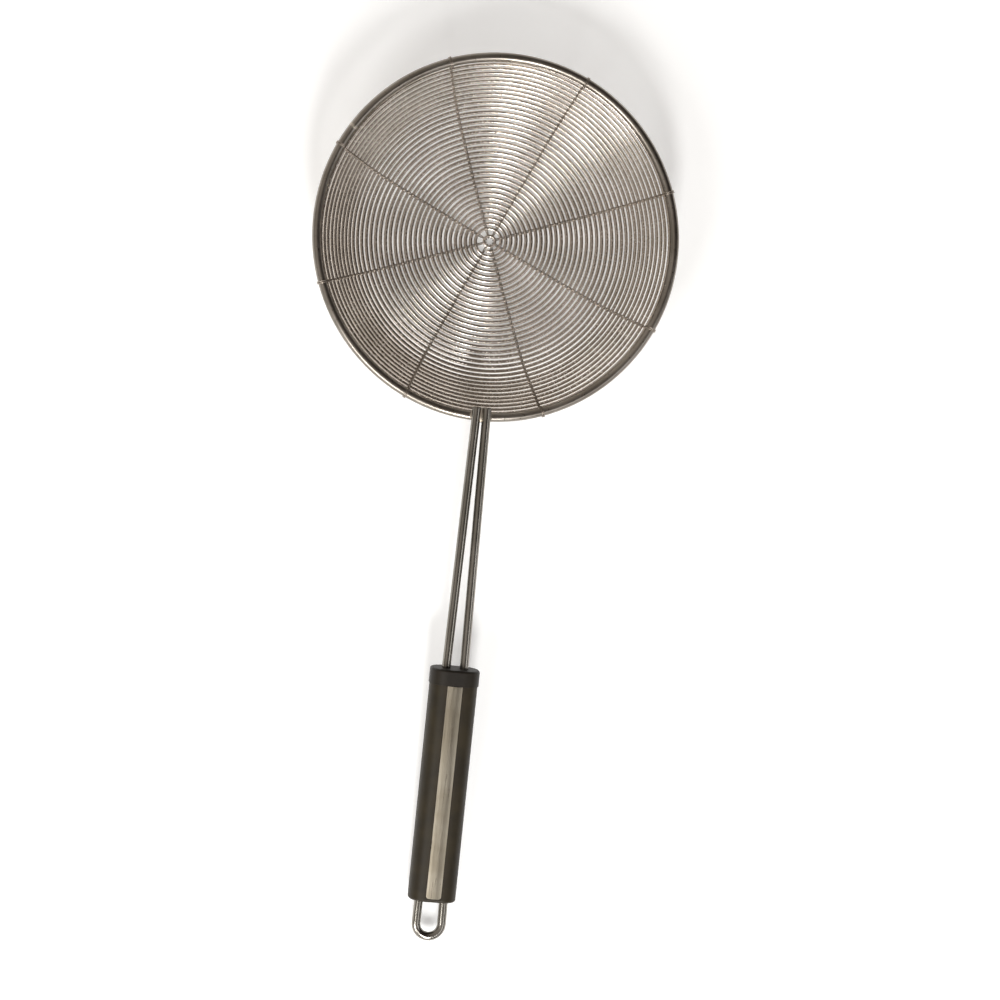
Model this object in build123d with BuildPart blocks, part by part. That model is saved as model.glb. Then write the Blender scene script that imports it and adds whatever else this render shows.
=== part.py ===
import os
from math import asin, atan2, ceil, cos, degrees, hypot, pi, radians, sin, sqrt

from build123d import *

# A spider skimmer: a dish of spiral wire held by eight twined spoke wires and
# a heavy rim wire, on a long handle of one bent wire with a moulded grip.
# It lies as it rests on a table: rim level, +Z up, handle towards -Y.
# The origin is under the middle of its length, on the table. Millimetres.

# Bowl
bowl_diameter = 160.0
rim_wire_diameter = 4.0
floor_flat_radius = 15.0
floor_dome_radius = 200.0
knuckle_radius = 30.0
wall_length = 21.0
wall_angle = 42.0

# Spiral wire of the mesh, its hub ring, and the spoke wires twined round them
spiral_wire_diameter = 1.4
spiral_loops = 24
spiral_inner_tail_share = 0.06
spiral_outer_tail_share = 0.012
spiral_rim_standoff = 2.8
hub_ring_radius = 2.4
spoke_wire_diameter = 0.8
spoke_count = 8
first_spoke_angle = 20.0
spoke_hook_angle = 250.0
wire_clearance = 0.05
strand_gap = 0.45

# Handle wire: two legs that close up towards the rim, and the hanging loop
handle_wire_diameter = 3.9
neck_length = 110.2
loop_reach = 18.4
loop_radius = 5.6
weld_overlap = 4.0
weld_set_down = 0.4
wire_end_rounding = 0.5

# Grip: two moulded shells, a collar, two steel strips and two rivets
grip_length = 102.5
grip_width = 20.8
grip_thickness = 16.0
grip_corner_radius = 6.8
grip_end_rounding = 1.2
channel_clearance = 0.1
seam_clearance = 0.1
collar_length = 7.0
collar_front_wall = 2.5
collar_skirt = 1.3
collar_proud = 0.4
collar_rounding = 1.0
strip_width = 6.5
strip_edge_height = 1.5
strip_proud = 0.3
strip_crown = 0.4
strip_end_margin = 1.8
strip_clearance = 0.05
strip_end_radius = 1.2
rivet_diameter = 2.8
rivet_head_diameter = 5.2
rivet_head_height = 1.0
rivet_clearance = 0.1
rivet_inset = 16.0

samples_per_arc = 4
cut_overrun = 5.0

# Lengths that follow from the ones above
hook_radius = (rim_wire_diameter + spoke_wire_diameter) / 2 + wire_clearance
crossing_height = (spiral_wire_diameter + spoke_wire_diameter) / 2 + wire_clearance
strand_side = (spoke_wire_diameter + strand_gap) / 2
rim_radius = (bowl_diameter - rim_wire_diameter) / 2
wall_slope = radians(wall_angle)

# The mesh surface in section: flat, dome, knuckle and straight wall, all tangent
wall_foot_radius = (
    rim_radius + hook_radius * sin(wall_slope) - wall_length * cos(wall_slope)
)
floor_radius = (
    wall_foot_radius
    - knuckle_radius * sin(wall_slope)
    - knuckle_radius * floor_flat_radius / floor_dome_radius
) / (1 - knuckle_radius / floor_dome_radius)
floor_slope = asin((floor_radius - floor_flat_radius) / floor_dome_radius)
dome_end = floor_flat_radius + floor_dome_radius * floor_slope
knuckle_end = dome_end + knuckle_radius * (wall_slope - floor_slope)
rim_run = knuckle_end + wall_length
mesh_floor_height = crossing_height + spoke_wire_diameter / 2


def mesh_section(run):
    """Radius, rise and slope of the mesh surface, a length run out from the axis."""
    if run <= floor_flat_radius:
        return run, 0, 0
    slope = min((run - floor_flat_radius) / floor_dome_radius, floor_slope)
    radius = floor_flat_radius + floor_dome_radius * sin(slope)
    rise = floor_dome_radius * (1 - cos(slope))
    if run <= dome_end:
        return radius, rise, slope
    slope = min(floor_slope + (run - dome_end) / knuckle_radius, wall_slope)
    radius += knuckle_radius * (sin(slope) - sin(floor_slope))
    rise += knuckle_radius * (cos(floor_slope) - cos(slope))
    straight = max(run - knuckle_end, 0)
    return radius + straight * cos(slope), rise + straight * sin(slope), slope


rim_height = mesh_floor_height + mesh_section(rim_run)[1] + hook_radius * cos(wall_slope)

# The handle slopes down until the end of its lower strip touches the table
handle_height = (
    rim_height + (rim_wire_diameter + handle_wire_diameter) / 2 - weld_set_down
)
strip_end = neck_length + grip_length - strip_end_margin
strip_depth = grip_thickness / 2 + strip_proud + strip_crown
handle_slope = asin(handle_height / hypot(strip_end, strip_depth)) - atan2(
    strip_depth, strip_end
)
loop_end = neck_length + grip_length + loop_reach
loop_tip = loop_end - handle_wire_diameter / 2
loop_centre = loop_tip - loop_radius
bowl_centre_y = (
    loop_tip * cos(handle_slope) + (handle_wire_diameter - rim_wire_diameter) / 2
) / 2
spiral_pitch = (rim_run - spiral_rim_standoff - hub_ring_radius) / (
    spiral_loops + 1 - 1 / spoke_count
)


def spiral_run(turn):
    """How far out the spiral wire lies, turns counted from its first spoke."""
    return hub_ring_radius + spiral_pitch * (1 + turn)


def spoke_azimuth(turn):
    """Direction from the bowl's axis, in turns counted from the first spoke."""
    return radians(first_spoke_angle) - pi / 2 + 2 * pi * turn


def station(run, azimuth, height=0, side=0, climb=0, lean=0):
    """A point beside the mesh surface and the way that a wire passes it.

    height is off the surface and side is round the bowl; climb turns the way
    off the surface and lean turns it round the bowl.
    """
    radius, rise, slope = mesh_section(run)
    radius -= height * sin(slope)
    point = Vector(
        radius * cos(azimuth) - side * sin(azimuth),
        bowl_centre_y + radius * sin(azimuth) + side * cos(azimuth),
        mesh_floor_height + rise + height * cos(slope),
    )
    outward = cos(climb) * cos(lean) * cos(slope) - sin(climb) * sin(slope)
    around = cos(climb) * sin(lean)
    way = Vector(
        outward * cos(azimuth) - around * sin(azimuth),
        outward * sin(azimuth) + around * cos(azimuth),
        cos(climb) * cos(lean) * sin(slope) + sin(climb) * cos(slope),
    )
    return point, way


def draw_biarcs(stations):
    """Two tangent arcs between each pair of neighbouring stations."""
    for (start, start_way), (finish, finish_way) in zip(stations, stations[1:]):
        chord = finish - start
        ways = start_way + finish_way
        ahead = chord.dot(ways)
        square = chord.dot(chord)
        turned = 2 * (1 - start_way.dot(finish_way))
        reach = square / (ahead + sqrt(ahead * ahead + turned * square))
        middle = (start + finish + (start_way - finish_way) * reach) / 2
        TangentArc(start, middle, tangent=start_way)
        TangentArc(middle, finish, tangent=chord - ways * reach)


def bent_wire(stations, diameter):
    """A round wire swept on biarcs through its stations, and its centre line."""
    with BuildPart() as wire:
        with BuildLine() as path:
            draw_biarcs(stations)
        start, way = stations[0]
        with BuildSketch(Plane(origin=start, z_dir=way)):
            Circle(diameter / 2)
        sweep(path=path.line, clean=False)
    return wire, path.line


def report_wire(name, wire, line, diameter):
    """Prints the least gap of a wire to itself, its tightest bend and its volume."""
    edges = line.edges()
    points = []
    travelled = []
    distance = 0
    for edge in edges:
        for sample in range(samples_per_arc):
            points.append(tuple(edge @ (sample / samples_per_arc)))
            travelled.append(distance + edge.length * sample / samples_per_arc)
        distance += edge.length
    skipped = 4 * diameter
    least = min(
        hypot(a[0] - b[0], a[1] - b[1], a[2] - b[2])
        for i, a in enumerate(points)
        for b, far in zip(points[i + 1 :], travelled[i + 1 :])
        if far - travelled[i] > skipped
    )
    tightest = min(edge.radius for edge in edges)
    volume_share = wire.part.volume / (pi * diameter**2 / 4 * distance)
    print(
        f"{name}: length {distance:.0f}, least gap {least - diameter:.2f}, "
        f"tightest bend {tightest:.2f}, volume over section times length {volume_share:.4f}"
    )


os.makedirs("parts", exist_ok=True)

# Rim wire: a closed ring, butt welded
bowl_axis = Axis((0, bowl_centre_y, 0), (0, 0, 1))


def bowl_section(height):
    """The upright plane through the bowl's axis, with +X to the right."""
    return Plane(origin=(0, bowl_centre_y, height), x_dir=(1, 0, 0), z_dir=(0, -1, 0))


with BuildPart() as rim_wire:
    with BuildSketch(bowl_section(rim_height)):
        with Locations((rim_radius, 0)):
            Circle(rim_wire_diameter / 2)
    revolve(axis=bowl_axis)
rim_wire.part.label = "rim_wire"
export_step(rim_wire.part, "parts/rim_wire.step")

# Hub ring: the small ring that the spoke wires are folded over
with BuildPart() as hub_ring:
    with BuildSketch(bowl_section(mesh_floor_height)):
        with Locations((hub_ring_radius, 0)):
            Circle(spiral_wire_diameter / 2)
    revolve(axis=bowl_axis)
hub_ring.part.label = "hub_ring"
export_step(hub_ring.part, "parts/hub_ring.step")


# Spiral wire: one wire, wound from beside the hub ring out to the rim
def spiral_station(turn):
    """The spiral wire's point and way at a turn counted from its first spoke."""
    run = spiral_run(turn)
    radius = mesh_section(run)[0]
    lean = atan2(2 * pi * radius, spiral_pitch)
    return station(run, spoke_azimuth(turn), lean=lean)


spiral_start = -spiral_inner_tail_share
spiral_finish = spiral_loops - 1 / spoke_count + spiral_outer_tail_share
quarter_turns = ceil(4 * (spiral_finish - spiral_start))
spiral_stations = [
    spiral_station(spiral_start + (spiral_finish - spiral_start) * quarter / quarter_turns)
    for quarter in range(quarter_turns + 1)
]
spiral_wire, spiral_line = bent_wire(spiral_stations, spiral_wire_diameter)
spiral_wire.part.label = "spiral_wire"
export_step(spiral_wire.part, "parts/spiral_wire.step")
report_wire("spiral_wire", spiral_wire, spiral_line, spiral_wire_diameter)


# Spoke wires: each is folded over the hub ring, and its two legs are twined
# round every turn of the spiral wire and hooked round the rim wire
def twine_slopes(spacing):
    """Lean over a turn and dive between two turns, for turns that far apart."""
    rise = 2 * crossing_height
    spread = 2 * strand_side
    lean = atan2(2 * spacing * spread, spacing**2 + rise**2 - spread**2)
    dive = atan2(rise, (spacing**2 - rise**2 + spread**2) / (2 * spacing))
    return lean, dive


def spoke_leg(spoke, level):
    """Stations of one leg from the hub ring to the rim; level 1 starts on top."""
    place = spoke / spoke_count
    azimuth = spoke_azimuth(place)
    lean = twine_slopes(spiral_pitch)[0]
    crossings = [spiral_run(loop + place) for loop in range(spiral_loops)]
    first_gap = crossings[0] - hub_ring_radius
    between = hub_ring_radius + first_gap / 2
    dive = twine_slopes(first_gap)[1]
    stations = [
        station(hub_ring_radius, azimuth, height=level * crossing_height),
        station(between, azimuth, side=level * strand_side, climb=-level * dive),
    ]
    for run in crossings:
        level = -level
        height = level * crossing_height
        stations.append(station(run, azimuth, height=height, lean=level * lean))
    side = level * strand_side
    for turned in (0, radians(spoke_hook_angle) / 2, radians(spoke_hook_angle)):
        run = rim_run + hook_radius * sin(turned)
        height = hook_radius * (1 - cos(turned))
        stations.append(station(run, azimuth, height=height, side=side, climb=turned))
    return stations


for spoke in range(spoke_count):
    inward = [(point, -way) for point, way in reversed(spoke_leg(spoke, -1))]
    spoke_wire, spoke_line = bent_wire(inward + spoke_leg(spoke, 1), spoke_wire_diameter)
    spoke_name = f"spoke_wire_{spoke + 1}"
    spoke_wire.part.label = spoke_name
    export_step(spoke_wire.part, f"parts/{spoke_name}.step")
    report_wire(spoke_name, spoke_wire, spoke_line, spoke_wire_diameter)

# Handle planes: one through both legs, and sections square to the handle
handle_way = (0, -cos(handle_slope), -sin(handle_slope))
handle_plane = Plane(
    origin=(0, bowl_centre_y - rim_radius, handle_height),
    x_dir=(1, 0, 0),
    z_dir=(0, -sin(handle_slope), cos(handle_slope)),
)


def handle_section(distance):
    """The plane square to the handle, that far from the rim, facing its end."""
    place = handle_plane.from_local_coords(Vector(0, -distance, 0))
    return Plane(origin=place, x_dir=(1, 0, 0), z_dir=handle_way)


leg_start_side = (handle_wire_diameter + strand_gap) / 2
leg_span = loop_centre + weld_overlap
leg_spread = asin(loop_radius / hypot(leg_span, leg_start_side)) - atan2(
    leg_start_side, leg_span
)
leg_end = (loop_radius * cos(leg_spread), -loop_centre + loop_radius * sin(leg_spread))


def leg_side(distance):
    """Half the distance between the two legs, that far from the rim."""
    return leg_start_side + (distance + weld_overlap) * sin(leg_spread) / cos(leg_spread)


def draw_handle_line():
    """The centre line of the handle wire: leg, hanging loop, leg."""
    Line((leg_start_side, weld_overlap), leg_end)
    ThreePointArc(leg_end, (0, -loop_tip), (-leg_end[0], leg_end[1]))
    Line((-leg_end[0], leg_end[1]), (-leg_start_side, weld_overlap))


def handle_tube(diameter):
    """A round tube along the handle wire's centre line."""
    with BuildPart() as wire:
        with BuildLine(handle_plane) as path:
            draw_handle_line()
        with BuildSketch(Plane(origin=path.line @ 0, z_dir=path.line % 0)):
            Circle(diameter / 2)
        sweep(path=path.line)
    return wire


# Handle wire: its two ends are pressed a little into the rim by their welds
with BuildPart() as handle_wire:
    add(handle_tube(handle_wire_diameter).part)
    wire_ends = handle_wire.faces().filter_by(GeomType.PLANE).edges()
    fillet(wire_ends, wire_end_rounding)
    add(rim_wire.part, mode=Mode.SUBTRACT)
handle_wire.part.label = "handle_wire"
export_step(handle_wire.part, "parts/handle_wire.step")

wire_channel = handle_tube(handle_wire_diameter + 2 * channel_clearance).part

# Grip shells: an upper and a lower half, closed over the handle wire
spigot_inset = collar_skirt + seam_clearance - collar_proud
body_start = neck_length + collar_length
groove_floor = grip_thickness / 2 + strip_proud - strip_edge_height


def draw_grip_section(inset):
    """The grip's rounded section, drawn in by inset on every side."""
    RectangleRounded(
        grip_width - 2 * inset,
        grip_thickness - 2 * inset,
        grip_corner_radius - inset,
    )


def rivet_plane(distance, height=0):
    """The plane square to a rivet, that far from the rim along the handle."""
    place = handle_plane.from_local_coords(Vector(0, -distance, height))
    return Plane(origin=place, x_dir=(1, 0, 0), z_dir=handle_plane.z_dir)


rivet_places = (body_start + rivet_inset, neck_length + grip_length - rivet_inset)
rivet_top = groove_floor - strip_clearance
with BuildPart() as grip_blank:
    with BuildSketch(handle_section(body_start)):
        draw_grip_section(0)
    extrude(amount=grip_length - collar_length)
    rear_rim = grip_blank.faces().sort_by(Axis((0, 0, 0), handle_way))[-1].edges()
    fillet(rear_rim, grip_end_rounding)
    with BuildSketch(handle_section(neck_length + collar_front_wall + seam_clearance)):
        draw_grip_section(spigot_inset)
    extrude(amount=collar_length - collar_front_wall - seam_clearance)
    for face_side in (1, -1):
        groove_middle = face_side * (groove_floor - strip_clearance + cut_overrun / 2)
        with BuildSketch(handle_section(body_start)):
            with Locations((0, groove_middle)):
                Rectangle(strip_width + 2 * strip_clearance, cut_overrun)
        extrude(amount=strip_end - body_start + strip_clearance, mode=Mode.SUBTRACT)
    for place in rivet_places:
        with BuildSketch(rivet_plane(place)):
            Circle(rivet_diameter / 2 + rivet_clearance)
        extrude(amount=grip_thickness, both=True, mode=Mode.SUBTRACT)
        head_floor = rivet_top - rivet_head_height - rivet_clearance
        for face_side in (1, -1):
            with BuildSketch(rivet_plane(place, face_side * head_floor)):
                Circle(rivet_head_diameter / 2 + rivet_clearance)
            extrude(amount=face_side * cut_overrun, mode=Mode.SUBTRACT)
    add(wire_channel, mode=Mode.SUBTRACT)

for half_name, half in (("grip_upper_shell", Keep.TOP), ("grip_lower_shell", Keep.BOTTOM)):
    with BuildPart() as grip_shell:
        add(grip_blank.part)
        split(bisect_by=handle_plane, keep=half)
    grip_shell.part.label = half_name
    export_step(grip_shell.part, f"parts/{half_name}.step")

# Collar: a moulded cap over the shells' front ends, where the legs enter
with BuildPart() as grip_collar:
    with BuildSketch(handle_section(neck_length)):
        draw_grip_section(-collar_proud)
    extrude(amount=collar_length - seam_clearance)
    front_rim = grip_collar.faces().sort_by(Axis((0, 0, 0), handle_way))[0].edges()
    fillet(front_rim, collar_rounding)
    with BuildSketch(handle_section(neck_length + collar_front_wall)):
        draw_grip_section(spigot_inset - seam_clearance)
    extrude(amount=collar_length, mode=Mode.SUBTRACT)
    add(wire_channel, mode=Mode.SUBTRACT)
grip_collar.part.label = "grip_collar"
export_step(grip_collar.part, "parts/grip_collar.step")

# Steel strips: crowned bars let into the grip's upper and lower face
strip_start = body_start + strip_clearance
strip_edge = groove_floor + strip_edge_height
for strip_name, face_side in (("upper_strip", 1), ("lower_strip", -1)):
    low = face_side * groove_floor
    edge = face_side * strip_edge
    with BuildPart() as strip:
        with BuildSketch(handle_section(strip_start)):
            with BuildLine():
                Polyline(
                    (strip_width / 2, edge),
                    (strip_width / 2, low),
                    (-strip_width / 2, low),
                    (-strip_width / 2, edge),
                )
                ThreePointArc(
                    (-strip_width / 2, edge),
                    (0, edge + face_side * strip_crown),
                    (strip_width / 2, edge),
                )
            make_face()
        extrude(amount=strip_end - strip_start)
        upright = strip.edges().filter_by(Axis((0, 0, 0), handle_plane.z_dir))
        fillet(upright.sort_by(Axis((0, 0, 0), handle_way))[-2:], strip_end_radius)
    strip.part.label = strip_name
    export_step(strip.part, f"parts/{strip_name}.step")

# Rivets: they hold the shells together between the legs, under the strips
for rivet_name, place in zip(("front_rivet", "rear_rivet"), rivet_places):
    with BuildPart() as rivet:
        with BuildSketch(rivet_plane(place)):
            Circle(rivet_diameter / 2)
        extrude(amount=rivet_top, both=True)
        for face_side in (1, -1):
            with BuildSketch(rivet_plane(place, face_side * rivet_top)):
                Circle(rivet_head_diameter / 2)
            extrude(amount=-face_side * rivet_head_height)
    rivet.part.label = rivet_name
    export_step(rivet.part, f"parts/{rivet_name}.step")

print(f"rim height {rim_height:.2f}, floor radius {floor_radius:.2f}")
print(f"handle slope {degrees(handle_slope):.2f} degrees, bowl centre y {bowl_centre_y:.2f}")
print(f"spiral pitch {spiral_pitch:.3f}, legs at the grip +-{leg_side(neck_length):.2f}")
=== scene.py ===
from math import asin, cos, pi, radians, sin

import bmesh
import bpy
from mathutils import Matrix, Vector, noise


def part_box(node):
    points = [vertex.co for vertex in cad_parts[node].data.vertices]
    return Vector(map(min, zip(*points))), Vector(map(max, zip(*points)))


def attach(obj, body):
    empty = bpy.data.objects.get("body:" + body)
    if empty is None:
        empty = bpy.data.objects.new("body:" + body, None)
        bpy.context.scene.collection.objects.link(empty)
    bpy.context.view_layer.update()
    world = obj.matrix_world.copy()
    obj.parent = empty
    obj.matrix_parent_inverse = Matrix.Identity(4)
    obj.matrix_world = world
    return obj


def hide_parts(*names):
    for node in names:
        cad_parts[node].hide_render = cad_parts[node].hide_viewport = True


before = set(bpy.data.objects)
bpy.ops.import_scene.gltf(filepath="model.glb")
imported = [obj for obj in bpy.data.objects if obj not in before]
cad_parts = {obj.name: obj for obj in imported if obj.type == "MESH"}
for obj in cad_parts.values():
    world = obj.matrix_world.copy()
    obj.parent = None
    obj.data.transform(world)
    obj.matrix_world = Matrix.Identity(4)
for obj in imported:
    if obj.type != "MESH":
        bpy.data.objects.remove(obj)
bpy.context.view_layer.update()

# Units
MM = 0.001
WHITE = (1.0, 1.0, 1.0, 1.0)

# Places read from the frame
rim_low, rim_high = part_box("rim_wire")
hub_low, hub_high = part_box("hub_ring")
bowl_y = (rim_low.y + rim_high.y) / 2
rim_z = (rim_low.z + rim_high.z) / 2
mesh_floor_z = (hub_low.z + hub_high.z) / 2

# Handle, at the solids' sizes; the leg holes' sides are counted from the grip's middle
handle_wire_diameter = 3.9 * MM
leg_gap = 0.45 * MM
weld_set_down = 0.4 * MM
neck_length = 110.2 * MM
grip_length = 102.5 * MM
handle_slope = radians(6.13)
grip_width = 20.8 * MM
collar_length = 7 * MM
grip_end_rounding = 1.2 * MM
leg_hole_inner_side = 3.3 * MM
leg_hole_outer_side = 7.6 * MM
parting_line_width = 0.5 * MM
parting_line_stand = 0.12 * MM

# Bowl, at the solids' sizes
bowl_diameter = 160 * MM
rim_wire_diameter = 4 * MM
solid_spoke_diameter = 0.8 * MM
solid_clearance = 0.05 * MM
floor_flat_radius = 15 * MM
floor_dome_radius = 200 * MM
knuckle_radius = 30 * MM
wall_length = 21 * MM
wall_slope = radians(42)
hub_wire_diameter = hub_high.z - hub_low.z
hub_ring_radius = (hub_high.x - hub_low.x - hub_wire_diameter) / 2
first_spoke_angle = radians(20)
spoke_count = 8

# The real mesh, finer than the solids'
mesh_loops = 36
mesh_wire_diameter = 1.6 * MM
spoke_wire_diameter = 0.56 * MM
wire_clearance = 0.03 * MM
strand_gap = 0.12 * MM
rim_standoff = 2.5 * MM
inner_tail_turns = 0.08
outer_tail_turns = 0.014
spoke_hook_angle = radians(262)

# Sway of the mesh wire out and in, and its lift off the surface, both from noise
wire_sway = 0.10 * MM
sway_scale = 2.1
sway_drift = 0.83
wire_lift = 0.06 * MM
lift_scale = 1.7
lift_start = 9.0
lift_drift = 0.61

# Fineness of the wires' meshes
mesh_wire_sides = 10
mesh_wire_step = 2.2 * MM
mesh_wire_least_steps = 40
spoke_wire_sides = 8
crossing_samples = 9
hook_steps = 26
fold_steps = 8
end_dome_share = 0.35
end_ring_share = 0.72

# Mesh surface and crossings, worked out from the sizes
rim_radius = (bowl_diameter - rim_wire_diameter) / 2
solid_hook_radius = (rim_wire_diameter + solid_spoke_diameter) / 2 + solid_clearance
hook_radius = (rim_wire_diameter + spoke_wire_diameter) / 2 + wire_clearance
crossing_height = (mesh_wire_diameter + spoke_wire_diameter) / 2 + wire_clearance
hub_crossing_height = (hub_wire_diameter + spoke_wire_diameter) / 2 + wire_clearance
strand_side = (spoke_wire_diameter + strand_gap) / 2

wall_foot_radius = rim_radius + solid_hook_radius * sin(wall_slope) - wall_length * cos(wall_slope)
floor_radius = (
    wall_foot_radius
    - knuckle_radius * sin(wall_slope)
    - knuckle_radius * floor_flat_radius / floor_dome_radius
) / (1 - knuckle_radius / floor_dome_radius)
floor_slope = asin((floor_radius - floor_flat_radius) / floor_dome_radius)
dome_end = floor_flat_radius + floor_dome_radius * floor_slope
knuckle_end = dome_end + knuckle_radius * (wall_slope - floor_slope)
rim_run = knuckle_end + wall_length
mesh_pitch = (rim_run - rim_standoff - hub_ring_radius) / (mesh_loops + 1 - 1 / spoke_count)


def mesh_section(run):
    """Radius, rise and slope of the mesh surface, a length run out from the axis."""
    if run <= floor_flat_radius:
        return run, 0, 0
    slope = min((run - floor_flat_radius) / floor_dome_radius, floor_slope)
    radius = floor_flat_radius + floor_dome_radius * sin(slope)
    rise = floor_dome_radius * (1 - cos(slope))
    if run <= dome_end:
        return radius, rise, slope
    slope = min(floor_slope + (run - dome_end) / knuckle_radius, wall_slope)
    radius += knuckle_radius * (sin(slope) - sin(floor_slope))
    rise += knuckle_radius * (cos(floor_slope) - cos(slope))
    straight = max(run - knuckle_end, 0)
    return radius + straight * cos(slope), rise + straight * sin(slope), slope


def beside_mesh(run, azimuth, height=0.0, side=0.0):
    """A point off the mesh surface by height, and round the bowl by side."""
    radius, rise, slope = mesh_section(run)
    radius -= height * sin(slope)
    return Vector((
        radius * cos(azimuth) - side * sin(azimuth),
        bowl_y + radius * sin(azimuth) + side * cos(azimuth),
        mesh_floor_z + rise + height * cos(slope),
    ))


def spoke_azimuth(turn):
    """Direction from the bowl's axis, in turns counted from the first spoke."""
    return first_spoke_angle - pi / 2 + 2 * pi * turn


def mesh_run(turn):
    """How far out the mesh wire lies at a turn, with the sway of a hand-wound wire."""
    azimuth = spoke_azimuth(turn)
    place = Vector((sway_scale * cos(azimuth), sway_scale * sin(azimuth), sway_drift * turn))
    return hub_ring_radius + mesh_pitch * (1 + turn) + wire_sway * noise.noise(place)


def mesh_lift(turn):
    """How far the mesh wire stands off its surface at a turn."""
    azimuth = spoke_azimuth(turn)
    place = Vector((
        lift_scale * cos(azimuth) + lift_start,
        lift_scale * sin(azimuth),
        lift_drift * turn,
    ))
    return wire_lift * noise.noise(place)


def add_object(name, mesh, material):
    """A new piece of the skimmer, shaded smooth, riding on its one body."""
    mesh.materials.append(material)
    mesh.polygons.foreach_set("use_smooth", [True] * len(mesh.polygons))
    piece = bpy.data.objects.new(name, mesh)
    bpy.context.scene.collection.objects.link(piece)
    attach(piece, "root")
    return piece


def line_ways(points):
    """The direction of a line at each of its points."""
    last = len(points) - 1
    ways = []
    for place in range(len(points)):
        ahead = points[min(place + 1, last)]
        behind = points[max(place - 1, 0)]
        ways.append((ahead - behind).normalized())
    return ways


def tube_faces(ring_count, sides):
    """Faces between rings of vertices, with a cap on each end."""
    faces = []
    for ring in range(ring_count - 1):
        for side in range(sides):
            one = ring * sides + side
            two = ring * sides + (side + 1) % sides
            faces.append((one, two, two + sides, one + sides))
    faces.append(tuple(reversed(range(sides))))
    faces.append(tuple(range((ring_count - 1) * sides, ring_count * sides)))
    return faces


def tube_mesh(name, points, diameter, sides):
    """A round wire along a line of points, with domed ends."""
    radius = diameter / 2
    ways = line_ways(points)
    dome = end_dome_share * radius
    rings = [(points[0] - ways[0] * dome, ways[0], end_ring_share)]
    rings += [(point, way, 1.0) for point, way in zip(points, ways)]
    rings.append((points[-1] + ways[-1] * dome, ways[-1], end_ring_share))
    across = ways[0].orthogonal().normalized()
    vertices = []
    for point, way, share in rings:
        across = (across - way * across.dot(way)).normalized()
        upright = way.cross(across)
        for side in range(sides):
            angle = 2 * pi * side / sides
            outward = across * cos(angle) + upright * sin(angle)
            vertices.append(point + outward * radius * share)
    mesh = bpy.data.meshes.new(name)
    mesh.from_pydata(vertices, [], tube_faces(len(rings), sides))
    mesh.update()
    return mesh


# Materials: noise in cycles a metre, and the places on it where the two tones stand
patch_scale = 55.0
patch_detail = 3.0
patch_places = (0.36, 0.62)
draw_mark_scale = 900.0
draw_mark_detail = 5.0
draw_mark_roughness = 0.6
draw_mark_relief = 0.15
draw_mark_depth = 0.02 * MM
cloud_scale = 90.0
cloud_detail = 4.0
cloud_places = (0.35, 0.65)
grain_scale = 2600.0
grain_detail = 3.0
grain_relief = 0.25
grain_depth = 0.03 * MM
plastic_specular = 0.25
even = (1, 1, 1)
drawn_lengthwise = (1, 0.08, 1)
brushed_lengthwise = (1, 0.02, 0.02)


def new_material(name):
    """A node material, with its node tree and its shader."""
    material = bpy.data.materials.new(name)
    material.use_nodes = True
    tree = material.node_tree
    shader = tree.nodes["Principled BSDF"]
    return material, tree, shader


def noise_node(tree, scale, detail, roughness=0.55, stretch=even):
    """Noise in the object's own coordinates, in cycles a metre, stretched by axis."""
    coordinates = tree.nodes.new("ShaderNodeTexCoord")
    mapping = tree.nodes.new("ShaderNodeMapping")
    mapping.inputs["Scale"].default_value = stretch
    texture = tree.nodes.new("ShaderNodeTexNoise")
    texture.inputs["Scale"].default_value = scale
    texture.inputs["Detail"].default_value = detail
    texture.inputs["Roughness"].default_value = roughness
    tree.links.new(coordinates.outputs["Object"], mapping.inputs["Vector"])
    tree.links.new(mapping.outputs["Vector"], texture.inputs["Vector"])
    return texture


def ramp_node(tree, source, stops):
    """A colour ramp over a texture's value; stops are (place, colour)."""
    ramp = tree.nodes.new("ShaderNodeValToRGB")
    elements = ramp.color_ramp.elements
    while len(elements) < len(stops):
        elements.new(0.5)
    for element, (place, colour) in zip(elements, stops):
        element.position = place
        element.color = (*colour, 1.0)
    tree.links.new(source, ramp.inputs["Fac"])
    return ramp


def range_node(tree, source, low, high, from_low=0.3, from_high=0.7):
    """A value spread from low to high."""
    spread = tree.nodes.new("ShaderNodeMapRange")
    spread.inputs["From Min"].default_value = from_low
    spread.inputs["From Max"].default_value = from_high
    spread.inputs["To Min"].default_value = low
    spread.inputs["To Max"].default_value = high
    tree.links.new(source, spread.inputs["Value"])
    return spread


def colour_by_noise(tree, shader, texture, places, dark, light):
    """The shader's colour, from dark to light between two places on a noise."""
    tones = ramp_node(tree, texture.outputs["Fac"], list(zip(places, (dark, light))))
    tree.links.new(tones.outputs["Color"], shader.inputs["Base Color"])


def gloss_by_noise(tree, shader, texture, roughness):
    """The shader's roughness, spread over a noise between its two values."""
    low, high = roughness
    gloss = range_node(tree, texture.outputs["Fac"], low, high)
    tree.links.new(gloss.outputs["Result"], shader.inputs["Roughness"])


def relief_by_noise(tree, shader, texture, strength, depth):
    """Fine relief on the shader from a noise, depth in metres."""
    bump = tree.nodes.new("ShaderNodeBump")
    bump.inputs["Strength"].default_value = strength
    bump.inputs["Distance"].default_value = depth
    tree.links.new(texture.outputs["Fac"], bump.inputs["Height"])
    tree.links.new(bump.outputs["Normal"], shader.inputs["Normal"])


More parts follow.
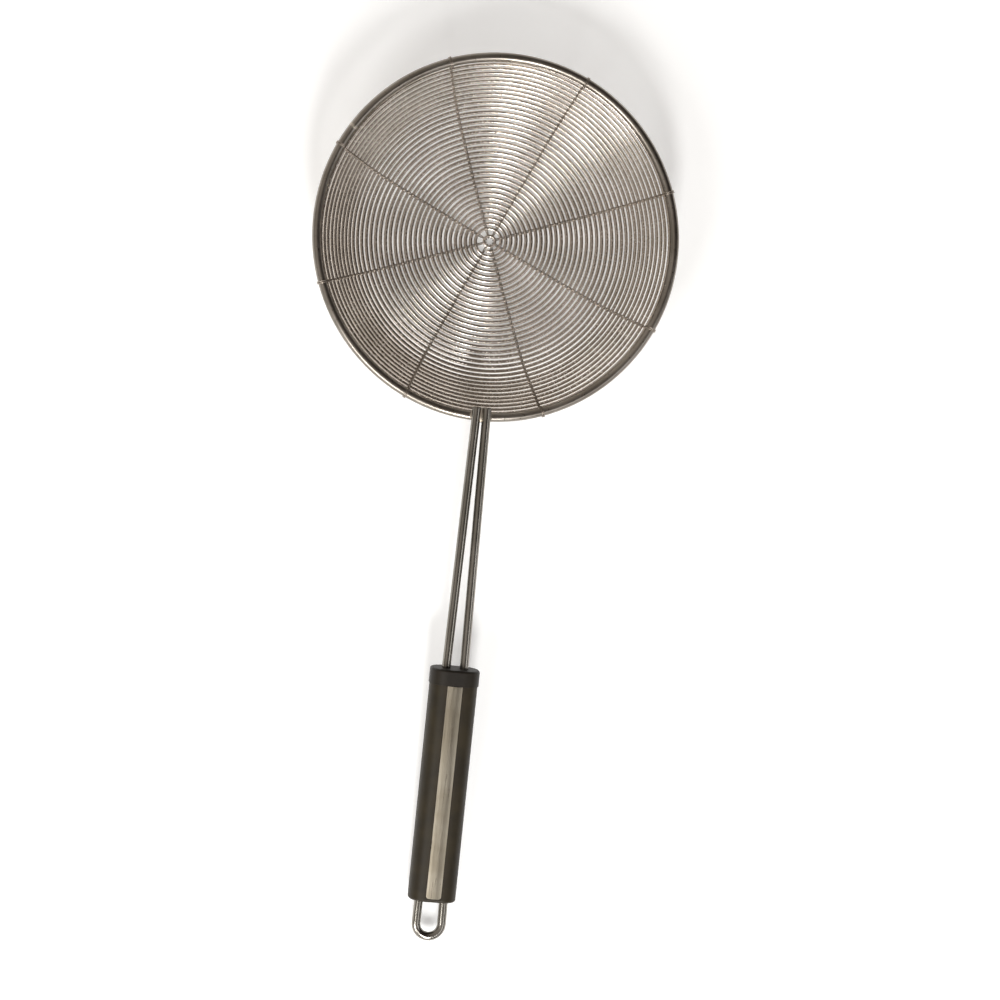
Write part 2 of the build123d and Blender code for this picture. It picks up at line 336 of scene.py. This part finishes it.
def steel(name, light, dark, roughness, scale=draw_mark_scale, stretch=even, relief=draw_mark_relief):
    """Drawn steel: two tones in patches, uneven gloss and fine draw marks."""
    material, tree, shader = new_material(name)
    shader.inputs["Metallic"].default_value = 1.0
    patches = noise_node(tree, patch_scale, patch_detail)
    colour_by_noise(tree, shader, patches, patch_places, dark, light)
    marks = noise_node(tree, scale, draw_mark_detail, draw_mark_roughness, stretch)
    gloss_by_noise(tree, shader, marks, roughness)
    relief_by_noise(tree, shader, marks, relief, draw_mark_depth)
    return material


def moulded_plastic(name, light, dark, roughness):
    """Satin moulded plastic with a fine grain and slightly uneven colour."""
    material, tree, shader = new_material(name)
    shader.inputs["Specular IOR Level"].default_value = plastic_specular
    clouds = noise_node(tree, cloud_scale, cloud_detail)
    colour_by_noise(tree, shader, clouds, cloud_places, dark, light)
    grain = noise_node(tree, grain_scale, grain_detail)
    gloss_by_noise(tree, shader, grain, roughness)
    relief_by_noise(tree, shader, grain, grain_relief, grain_depth)
    return material


# Each material's name, lighter tone, darker tone and range of roughness
mesh_steel = steel("mesh_steel", (0.68, 0.62, 0.56), (0.56, 0.505, 0.445), (0.20, 0.30))
spoke_steel = steel("spoke_steel", (0.36, 0.315, 0.27), (0.25, 0.215, 0.18), (0.30, 0.44))
weld_steel = steel(
    "weld_steel",
    (0.55, 0.50, 0.43),
    (0.33, 0.28, 0.22),
    (0.30, 0.50),
    scale=1500.0,
    relief=0.4,
)
rim_steel = steel("rim_steel", (0.32, 0.29, 0.255), (0.235, 0.21, 0.18), (0.26, 0.38))
# The handle steel's two tones are painted shade. They are set well below the mesh steel's to stand
# for the dark room that the handle wire and rivets reflect.
handle_steel = steel(
    "handle_steel",
    (0.28, 0.262, 0.235),
    (0.20, 0.187, 0.162),
    (0.16, 0.26),
    scale=700.0,
    stretch=drawn_lengthwise,
)
strip_steel = steel(
    "strip_steel",
    (0.37, 0.332, 0.265),
    (0.285, 0.251, 0.192),
    (0.26, 0.38),
    scale=2200.0,
    stretch=brushed_lengthwise,
    relief=0.04,
)
grip_plastic = moulded_plastic(
    "grip_plastic",
    (0.022, 0.0155, 0.0055),
    (0.013, 0.0088, 0.003),
    (0.44, 0.58),
)
collar_plastic = moulded_plastic(
    "collar_plastic",
    (0.014, 0.010, 0.005),
    (0.008, 0.0055, 0.003),
    (0.42, 0.54),
)

node_materials = {
    "rim_wire": rim_steel,
    "hub_ring": mesh_steel,
    "handle_wire": handle_steel,
    "grip_upper_shell": grip_plastic,
    "grip_lower_shell": grip_plastic,
    "grip_collar": collar_plastic,
    "upper_strip": strip_steel,
    "lower_strip": strip_steel,
    "front_rivet": handle_steel,
    "rear_rivet": handle_steel,
}
for node_name, material in node_materials.items():
    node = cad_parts[node_name]
    node.data.materials.clear()
    node.data.materials.append(material)


# Mesh wire: one wire wound from beside the hub ring out to the rim
def mesh_wire_point(turn):
    """The mesh wire's middle at a turn."""
    return beside_mesh(mesh_run(turn), spoke_azimuth(turn), mesh_lift(turn))


def mesh_wire_points():
    """The mesh wire's line, its steps as long round the hub as at the rim."""
    turn = -inner_tail_turns
    last = mesh_loops - 1 / spoke_count + outer_tail_turns
    points = []
    while turn < last:
        points.append(mesh_wire_point(turn))
        around = 2 * pi * mesh_section(mesh_run(turn))[0]
        turn += 1 / max(around / mesh_wire_step, mesh_wire_least_steps)
    points.append(mesh_wire_point(last))
    return points


mesh_wire = add_object(
    "mesh_wire",
    tube_mesh("mesh_wire", mesh_wire_points(), mesh_wire_diameter, mesh_wire_sides),
    mesh_steel,
)
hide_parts("spiral_wire")


# Spoke wires: folded over the hub ring, twined round every turn, hooked on the rim
def twined_points(crossings, azimuth, level):
    """A leg's line over and under its crossings, and the level that it ends on."""
    points = []
    for (run, lift, height), (next_run, next_lift, next_height) in zip(crossings, crossings[1:]):
        for sample in range(crossing_samples):
            share = sample / crossing_samples
            here = height + (next_height - height) * share
            points.append(beside_mesh(
                run + (next_run - run) * share,
                azimuth,
                lift + (next_lift - lift) * share + level * here * cos(pi * share),
                level * strand_side * sin(pi * share),
            ))
        level = -level
    return points, level


def rise_to_rim_points(crossing, azimuth, level):
    """A leg's line from its last crossing out to the foot of its hook."""
    run, lift, height = crossing
    hook_foot = solid_hook_radius - hook_radius
    points = []
    for sample in range(crossing_samples):
        share = sample / crossing_samples
        ease = share * share * (3 - 2 * share)
        points.append(beside_mesh(
            run + (rim_run - run) * share,
            azimuth,
            (lift + level * height) * (1 - ease) + hook_foot * ease,
            level * strand_side * ease,
        ))
    return points


def hook_points(azimuth, level):
    """A leg's hook round the rim wire."""
    points = []
    for step in range(hook_steps + 1):
        turned = spoke_hook_angle * step / hook_steps
        points.append(beside_mesh(
            rim_run + hook_radius * sin(turned),
            azimuth,
            solid_hook_radius - hook_radius * cos(turned),
            level * strand_side,
        ))
    return points


def spoke_leg_points(spoke, level):
    """One leg's line from the hub ring out to its end on the rim."""
    place = spoke / spoke_count
    azimuth = spoke_azimuth(place)
    turns = [loop + place for loop in range(mesh_loops)]
    crossings = [(hub_ring_radius, 0.0, hub_crossing_height)]
    crossings += [(mesh_run(turn), mesh_lift(turn), crossing_height) for turn in turns]
    points, level = twined_points(crossings, azimuth, level)
    points += rise_to_rim_points(crossings[-1], azimuth, level)
    return points + hook_points(azimuth, level)


def hub_fold_points(spoke):
    """The fold over the hub ring, from the lower leg up to the upper one."""
    azimuth = spoke_azimuth(spoke / spoke_count)
    points = []
    for step in range(1, fold_steps):
        angle = pi * step / fold_steps
        points.append(beside_mesh(
            hub_ring_radius - hub_crossing_height * sin(angle),
            azimuth,
            -hub_crossing_height * cos(angle),
        ))
    return points


for spoke in range(spoke_count):
    lower = spoke_leg_points(spoke, -1)
    line = lower[::-1] + hub_fold_points(spoke) + spoke_leg_points(spoke, 1)
    piece_name = f"twined_spoke_{spoke + 1}"
    spoke_mesh = tube_mesh(piece_name, line, spoke_wire_diameter, spoke_wire_sides)
    twined = add_object(piece_name, spoke_mesh, spoke_steel)
    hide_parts(f"spoke_wire_{spoke + 1}")


# Welds: melted lumps where the handle wire's legs lie on the rim
lump_rings = 14
lump_sides = 20
lump_swell = 0.10
lump_grain = 1.6
lump_seed_step = 3.7
between_legs_reach = Vector((1.0, 3.3, 0.95)) * MM
between_legs_forward = 0.6 * MM
between_legs_rise = 0.55 * MM
under_leg_reach = Vector((2.7, 2.2, 0.75)) * MM


def lump_point(centre, reach, tilt, turn, seed):
    """A point on a melted lump, its way from the centre given by tilt and turn."""
    way = Vector((sin(tilt) * cos(turn), sin(tilt) * sin(turn), cos(tilt)))
    swell = 1 + lump_swell * noise.noise(way * lump_grain + Vector((seed, 0, 0)))
    return centre + way * reach * swell


def add_lump(mesh, centre, reach, seed):
    """One melted lump in a mesh, about a centre, with its half sizes."""
    top = mesh.verts.new(lump_point(centre, reach, 0, 0, seed))
    bottom = mesh.verts.new(lump_point(centre, reach, pi, 0, seed))
    rows = []
    for ring in range(1, lump_rings):
        tilt = pi * ring / lump_rings
        row = []
        for step in range(lump_sides):
            turn = 2 * pi * step / lump_sides
            row.append(mesh.verts.new(lump_point(centre, reach, tilt, turn, seed)))
        rows.append(row)
    for step in range(lump_sides):
        after = (step + 1) % lump_sides
        mesh.faces.new((top, rows[0][step], rows[0][after]))
        mesh.faces.new((bottom, rows[-1][after], rows[-1][step]))
        for upper, lower in zip(rows, rows[1:]):
            mesh.faces.new((upper[step], lower[step], lower[after], upper[after]))


def lumps_mesh(name, lumps):
    """Several melted lumps in one mesh; each is a centre and its half sizes."""
    mesh = bmesh.new()
    for place, (centre, reach) in enumerate(lumps):
        add_lump(mesh, centre, reach, lump_seed_step * place)
    lumps_data = bpy.data.meshes.new(name)
    mesh.to_mesh(lumps_data)
    mesh.free()
    return lumps_data


leg_side = (handle_wire_diameter + leg_gap) / 2
weld_y = bowl_y - rim_radius
rim_top = rim_z + rim_wire_diameter / 2
leg_axis_z = rim_z + (rim_wire_diameter + handle_wire_diameter) / 2 - weld_set_down
between_legs = Vector((0, weld_y + between_legs_forward, leg_axis_z + between_legs_rise))
weld_lumps = [
    (between_legs, between_legs_reach),
    (Vector((leg_side, weld_y, rim_top)), under_leg_reach),
    (Vector((-leg_side, weld_y, rim_top)), under_leg_reach),
]
add_object("rim_welds", lumps_mesh("rim_welds", weld_lumps), weld_steel)

# The rim's own butt weld, a little thicker than its wire
seam_azimuth = radians(148)
seam_width = 1.1 * MM
seam_swell = 0.16 * MM
seam_steps = 6
seam_sides = 28
seam_line = []
for step in range(seam_steps + 1):
    azimuth = seam_azimuth + seam_width / rim_radius * (step / seam_steps - 0.5)
    seam_line.append(Vector((rim_radius * cos(azimuth), bowl_y + rim_radius * sin(azimuth), rim_z)))
seam_mesh = tube_mesh("rim_seam", seam_line, rim_wire_diameter + seam_swell, seam_sides)
add_object("rim_seam", seam_mesh, weld_steel)

# Parting lines of the grip's two shells, along its sides and over its end
parting_line_sides = 8
side_steps = 24
corner_steps = 8
end_half_steps = 2


def beside_handle(distance, side):
    """A point in the plane of the handle's legs, that far from the rim and to the side."""
    return Vector((
        side,
        weld_y - distance * cos(handle_slope),
        leg_axis_z - distance * sin(handle_slope),
    ))


def parting_line_points(hand):
    """The line where the shells meet, on the side that hand gives as 1 or -1."""
    sink = parting_line_width / 2 - parting_line_stand
    start = neck_length + collar_length + parting_line_width
    corner_distance = neck_length + grip_length - grip_end_rounding
    corner_side = grip_width / 2 - grip_end_rounding
    reach = grip_end_rounding - sink
    points = []
    for step in range(side_steps):
        distance = start + (corner_distance - start) * step / side_steps
        points.append(beside_handle(distance, hand * (corner_side + reach)))
    for step in range(corner_steps + 1):
        angle = pi / 2 * step / corner_steps
        distance = corner_distance + reach * sin(angle)
        points.append(beside_handle(distance, hand * (corner_side + reach * cos(angle))))
    points.append(beside_handle(corner_distance + reach, hand * leg_hole_outer_side))
    return points


def end_line_points():
    """The line where the shells meet on the grip's end, between the legs."""
    distance = neck_length + grip_length - parting_line_width / 2 + parting_line_stand
    points = []
    for step in range(-end_half_steps, end_half_steps + 1):
        points.append(beside_handle(distance, leg_hole_inner_side * step / end_half_steps))
    return points


parting_lines = {
    "parting_line_right": parting_line_points(1),
    "parting_line_left": parting_line_points(-1),
    "parting_line_end": end_line_points(),
}
for line_name, line in parting_lines.items():
    line_mesh = tube_mesh(line_name, line, parting_line_width, parting_line_sides)
    add_object(line_name, line_mesh, grip_plastic)


# Camera: above and a little to the left, as in the photograph, which is 1000 by 1000 pixels
photo_pixels = 1000
photo_middle = 500
bowl_pixel = (496.6, 237.2)
rim_pixels = 184.8
handle_turn = radians(5.25)
camera_lean = radians(7)
camera_distance = 1.6
camera_reach = 20
sensor_width = 36.0

pixel_size = bowl_diameter / 2 / rim_pixels
across = (bowl_pixel[0] - photo_middle) * pixel_size
above = (photo_middle - bowl_pixel[1]) * pixel_size
camera_x = -(across * cos(handle_turn) - above * sin(handle_turn))
camera_y = bowl_y - (across * sin(handle_turn) + above * cos(handle_turn))
camera_aim = Vector((camera_x, camera_y, rim_z))
picture_left = Vector((-cos(handle_turn), -sin(handle_turn), 0))
from_aim = picture_left * sin(camera_lean) + Vector((0, 0, cos(camera_lean)))

camera_data = bpy.data.cameras.new("camera")
camera_data.sensor_width = sensor_width
camera_data.lens = sensor_width * camera_distance / (pixel_size * photo_pixels)
camera_data.clip_end = camera_reach
camera = bpy.data.objects.new("camera", camera_data)
camera.location = camera_aim + from_aim * camera_distance
camera.rotation_euler = (0, -camera_lean, handle_turn)
bpy.context.scene.collection.objects.link(camera)
bpy.context.scene.camera = camera

# Lamps: name, azimuth and elevation in degrees, width and length in metres, power in watts
lamp_distance = 1.3
lamps = [
    ("key_strip", 272, 38, 0.21, 0.35, 10.5),
    ("wide_fill", 236, 38, 0.40, 0.40, 7.2),
    ("broad_fill", 323, 40, 1.0, 0.5, 2.8),
]


def area_light(name, azimuth, elevation, width, length, power):
    """A rectangular soft light aimed at the bowl; azimuth and elevation in degrees."""
    data = bpy.data.lights.new(name, "AREA")
    data.shape = "RECTANGLE"
    data.size = width
    data.size_y = length
    data.energy = power
    lamp = bpy.data.objects.new(name, data)
    target = Vector((0, bowl_y, rim_z))
    turn = radians(azimuth)
    lift = radians(elevation)
    way = Vector((cos(lift) * cos(turn), cos(lift) * sin(turn), sin(lift)))
    lamp.location = target + way * lamp_distance
    lamp.rotation_euler = (-way).to_track_quat("-Z", "Y").to_euler()
    bpy.context.scene.collection.objects.link(lamp)


for name, azimuth, elevation, width, length, power in lamps:
    area_light(name, azimuth, elevation, width, length, power)

# Room: tones from its left side, at 0, over to its right side, at 1, and a white horizon
room_across = (0.96, 0.10, 0.25)
left_wall = (0.30, 0.272, 0.245)
upper_left = (0.62, 0.568, 0.516)
overhead = (0.42, 0.385, 0.35)
right_wall = (0.04, 0.03, 0.027)
room_stops = [
    (0.12, left_wall),
    (0.28, upper_left),
    (0.44, overhead),
    (0.56, overhead),
    (0.72, right_wall),
]
horizon_white_below = 0.10
horizon_ends_at = 0.17


def light_the_room(tree):
    """A dim left wall, paler above it, warm grey overhead and dark brown on the right."""
    coordinates = tree.nodes.new("ShaderNodeTexCoord")
    toward = tree.nodes.new("ShaderNodeVectorMath")
    toward.operation = "DOT_PRODUCT"
    toward.inputs[1].default_value = room_across
    tree.links.new(coordinates.outputs["Generated"], toward.inputs[0])
    spread = range_node(tree, toward.outputs["Value"], 0.0, 1.0, -1.0, 1.0)
    tones = ramp_node(tree, spread.outputs["Result"], room_stops)
    split = tree.nodes.new("ShaderNodeSeparateXYZ")
    tree.links.new(coordinates.outputs["Generated"], split.inputs["Vector"])
    band = range_node(tree, split.outputs["Z"], 1.0, 0.0, horizon_white_below, horizon_ends_at)
    mix = tree.nodes.new("ShaderNodeMix")
    mix.data_type = "RGBA"
    mix.inputs["B"].default_value = WHITE
    tree.links.new(band.outputs["Result"], mix.inputs["Factor"])
    tree.links.new(tones.outputs["Color"], mix.inputs["A"])
    tree.links.new(mix.outputs["Result"], tree.nodes["Background"].inputs["Color"])


world = bpy.data.worlds.new("studio")
bpy.context.scene.world = world
world.use_nodes = True
light_the_room(world.node_tree)

# Floor: pale, white to the camera, keeping the skimmer's shadow
floor_colour = (0.80, 0.80, 0.79, 1.0)
near_lift = 0.34
far_lift = 0.80
near_distance = 0.1
far_distance = 2.5
floor_reach = 60.0
floor_z = -0.05 * MM


def math_node(tree, operation, first, second):
    """One operation on two values."""
    node = tree.nodes.new("ShaderNodeMath")
    node.operation = operation
    tree.links.new(first, node.inputs[0])
    tree.links.new(second, node.inputs[1])
    return node.outputs[0]


def floor_lift(tree):
    """How far the floor glows: more with distance, to camera, glossy and clear rays alone."""
    path = tree.nodes.new("ShaderNodeLightPath")
    seen = math_node(tree, "MAXIMUM", path.outputs["Is Camera Ray"], path.outputs["Is Glossy Ray"])
    seen = math_node(tree, "MAXIMUM", seen, path.outputs["Is Transmission Ray"])
    coordinates = tree.nodes.new("ShaderNodeTexCoord")
    distance = tree.nodes.new("ShaderNodeVectorMath")
    distance.operation = "LENGTH"
    tree.links.new(coordinates.outputs["Object"], distance.inputs[0])
    away = distance.outputs["Value"]
    lift = range_node(tree, away, near_lift, far_lift, near_distance, far_distance)
    return math_node(tree, "MULTIPLY", seen, lift.outputs["Result"])


def floor_material():
    """A pale diffuse floor that the camera and the metal see lifted to white."""
    material = bpy.data.materials.new("pale_floor")
    material.use_nodes = True
    tree = material.node_tree
    tree.nodes.clear()
    diffuse = tree.nodes.new("ShaderNodeBsdfDiffuse")
    diffuse.inputs["Color"].default_value = floor_colour
    glow = tree.nodes.new("ShaderNodeEmission")
    glow.inputs["Color"].default_value = WHITE
    both = tree.nodes.new("ShaderNodeAddShader")
    output = tree.nodes.new("ShaderNodeOutputMaterial")
    tree.links.new(floor_lift(tree), glow.inputs["Strength"])
    tree.links.new(diffuse.outputs[0], both.inputs[0])
    tree.links.new(glow.outputs[0], both.inputs[1])
    tree.links.new(both.outputs[0], output.inputs["Surface"])
    return material


corners = []
for side_x, side_y in ((-1, -1), (1, -1), (1, 1), (-1, 1)):
    corners.append((side_x * floor_reach, side_y * floor_reach, floor_z))
floor_mesh = bpy.data.meshes.new("floor")
floor_mesh.from_pydata(corners, [], [(0, 1, 2, 3)])
floor_mesh.materials.append(floor_material())
floor = bpy.data.objects.new("floor", floor_mesh)
bpy.context.scene.collection.objects.link(floor)

bpy.context.scene.view_settings.view_transform = "Standard"
